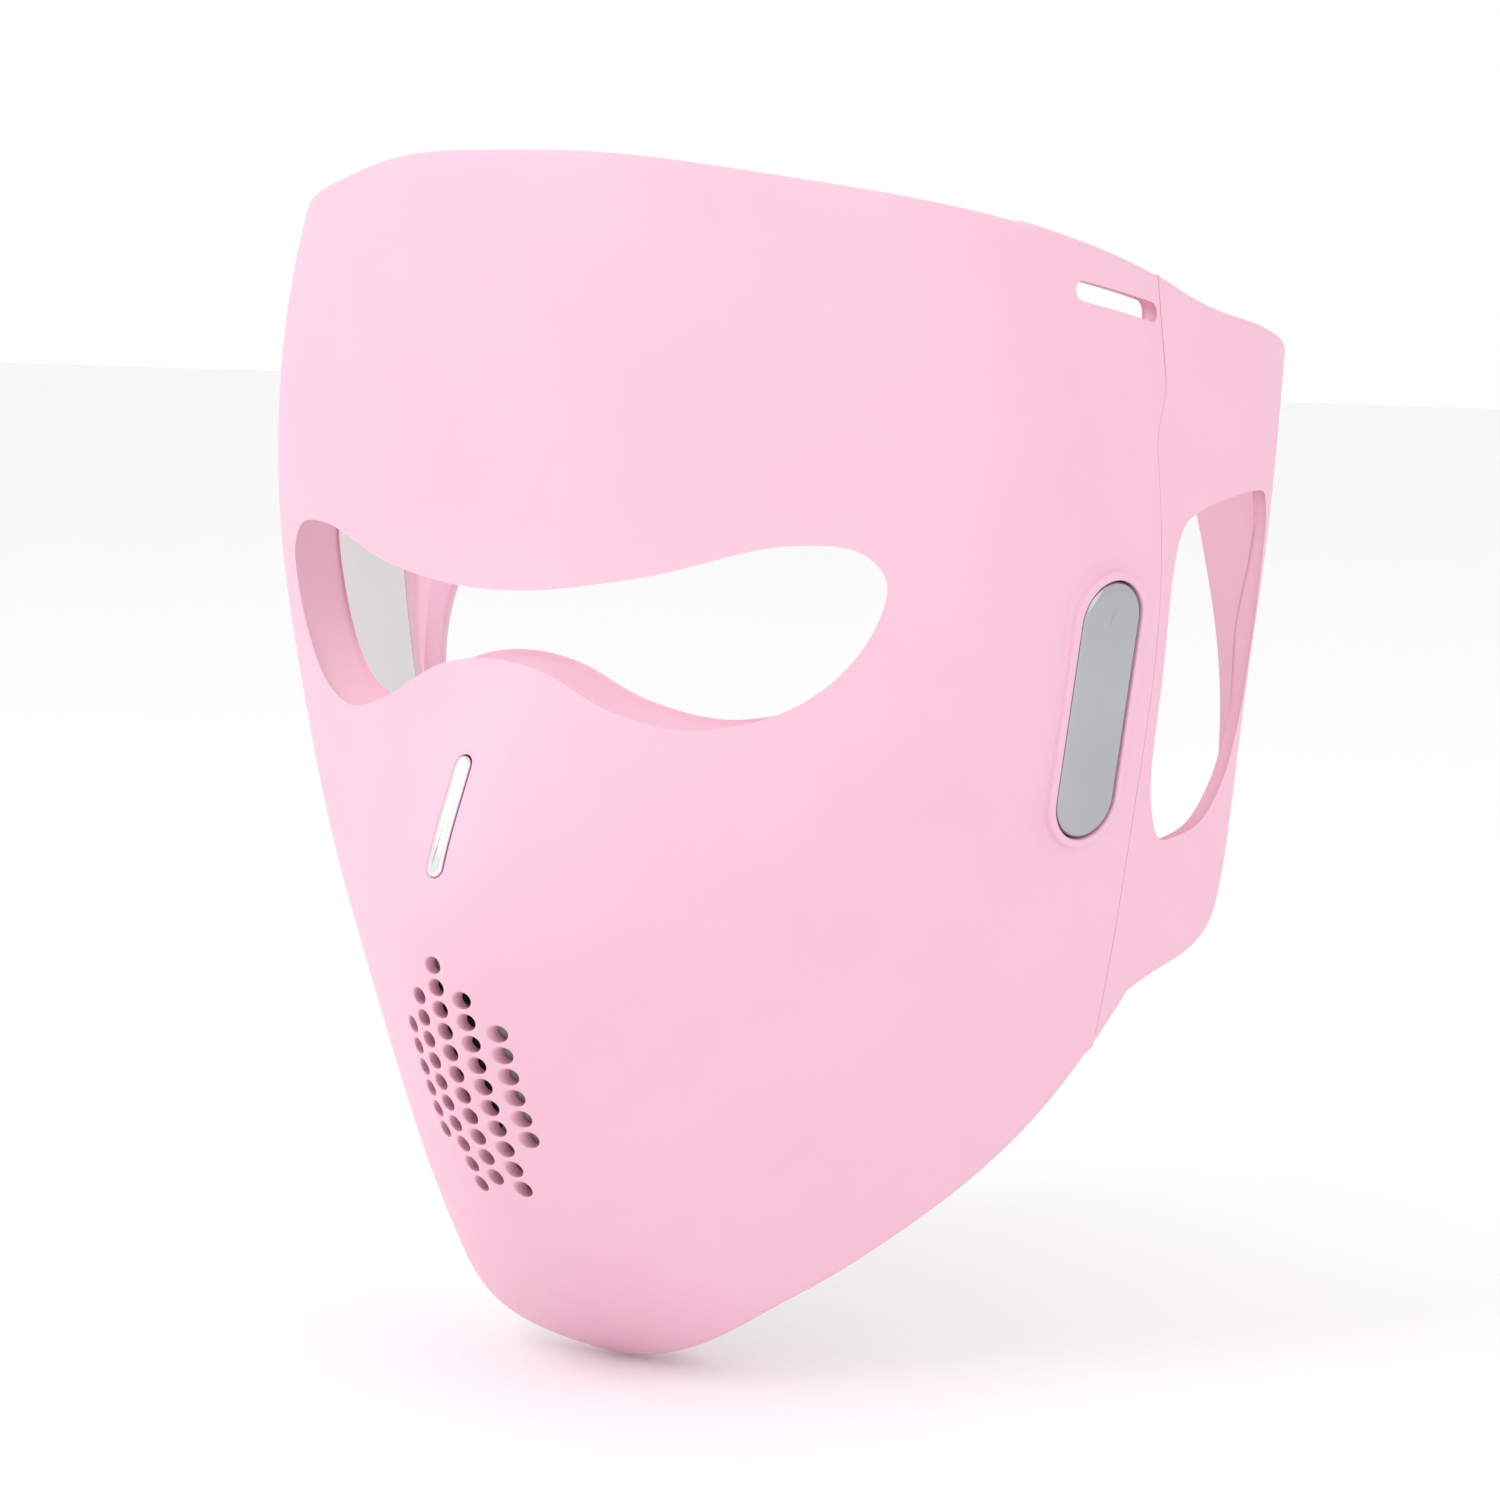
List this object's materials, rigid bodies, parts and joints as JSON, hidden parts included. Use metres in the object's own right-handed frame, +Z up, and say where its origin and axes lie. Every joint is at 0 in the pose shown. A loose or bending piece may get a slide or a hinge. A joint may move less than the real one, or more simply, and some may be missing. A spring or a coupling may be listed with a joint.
{
  "type": "face massage mask",
  "caption": "Full-face massage mask with an eye opening, mouth vents, light panels, sprung temple keys, strap slots and flexing ear wings.",
  "frame": {"origin": "in the plane of the two ear creases, on the mask's middle plane, level with the lowest edge of the chin", "axes": "+Z up the face, -Y out of the face, +X towards the wearer's left"},
  "size_m": [0.182, 0.135, 0.2103],
  "materials": {
    "pink_shell": "soft-touch matt",
    "pink_wing": "soft matt silicone",
    "skin_liner": "smooth matt silicone",
    "chrome_trim": "polished",
    "chrome_key": "polished",
    "pale_grille": "satin",
    "dark_mesh": "matt woven",
    "flex_board": "flexible film",
    "led_lens": "clear",
    "circuit_board": "solder mask",
    "chip_plastic": "moulded",
    "port_metal": "nickel plated",
    "screw_steel": "zinc plated",
    "plunger_plastic": "moulded",
    "cell_foil": "pouch foil",
    "motor_can": "drawn can",
    "motor_weight": "sintered"
  },
  "bodies": {
    "mask": {"outer_shell": "pink_shell", "face_liner": "skin_liner", "nose_trim": "chrome_trim", "mouth_grille": "pale_grille", "vent_mesh": "dark_mesh", "link_ribbon": "flex_board", "forehead_led_board": "flex_board", "chin_led_board": "flex_board", "left_cheek_led_board": "flex_board", "right_cheek_led_board": "flex_board", "forehead_leds": "led_lens", "chin_leds": "led_lens", "left_cheek_leds": "led_lens", "right_cheek_leds": "led_lens", "main_board": "circuit_board", "control_chip": "chip_plastic", "left_key_board": "circuit_board", "right_key_board": "circuit_board", "charging_port": "port_metal", "liner_screws": "screw_steel", "key_board_screws": "screw_steel", "left_switch_body": "chip_plastic", "right_switch_body": "chip_plastic", "left_battery": "cell_foil", "right_battery": "cell_foil", "left_motor_case": "motor_can", "right_motor_case": "motor_can"},
    "left_wing": {"left_wing": "pink_wing"},
    "right_wing": {"right_wing": "pink_wing"},
    "left_key": {"left_key": "chrome_key"},
    "right_key": {"right_key": "chrome_key"},
    "left_plunger": {"left_switch_plunger": "plunger_plastic"},
    "right_plunger": {"right_switch_plunger": "plunger_plastic"},
    "left_rotor": {"left_motor_shaft": "screw_steel", "left_motor_weight": "motor_weight"},
    "right_rotor": {"right_motor_shaft": "screw_steel", "right_motor_weight": "motor_weight"}
  },
  "joints": [
    {"name": "left_wing_flex", "type": "hinge", "parent": "mask", "child": "left_wing", "pos_m": [0.0864, 0, 0.128], "axis": [0, 0, -1], "range_deg": [0, 14], "stiffness_Nm_per_rad": 0.25},
    {"name": "left_key_press", "type": "slide", "parent": "mask", "child": "left_key", "axis": [-0.9501, 0.2512, 0.1851], "range_m": [0, 0.0007], "stiffness_N_per_m": 2500},
    {"name": "left_plunger_press", "type": "slide", "parent": "mask", "child": "left_plunger", "axis": [-0.9501, 0.2512, 0.1851], "range_m": [0, 0.0007]},
    {"name": "left_motor_spin", "type": "hinge", "parent": "mask", "child": "left_rotor", "pos_m": [0.02782, -0.06772, 0.15642], "axis": [0.9279, 0.3693, -0.0501], "continuous": true},
    {"name": "right_wing_flex", "type": "hinge", "parent": "mask", "child": "right_wing", "pos_m": [-0.0864, 0, 0.128], "axis": [0, 0, 1], "range_deg": [0, 14], "stiffness_Nm_per_rad": 0.25},
    {"name": "right_key_press", "type": "slide", "parent": "mask", "child": "right_key", "axis": [0.9501, 0.2512, 0.1851], "range_m": [0, 0.0007], "stiffness_N_per_m": 2500},
    {"name": "right_plunger_press", "type": "slide", "parent": "mask", "child": "right_plunger", "axis": [0.9501, 0.2512, 0.1851], "range_m": [0, 0.0007]},
    {"name": "right_motor_spin", "type": "hinge", "parent": "mask", "child": "right_rotor", "pos_m": [-0.02782, -0.06772, 0.15642], "axis": [-0.9279, 0.3693, -0.0501], "continuous": true}
  ],
  "couplings": [
    {"joint": "left_plunger_press", "follows": "left_key_press", "ratio": 1},
    {"joint": "right_plunger_press", "follows": "right_key_press", "ratio": 1}
  ]
}
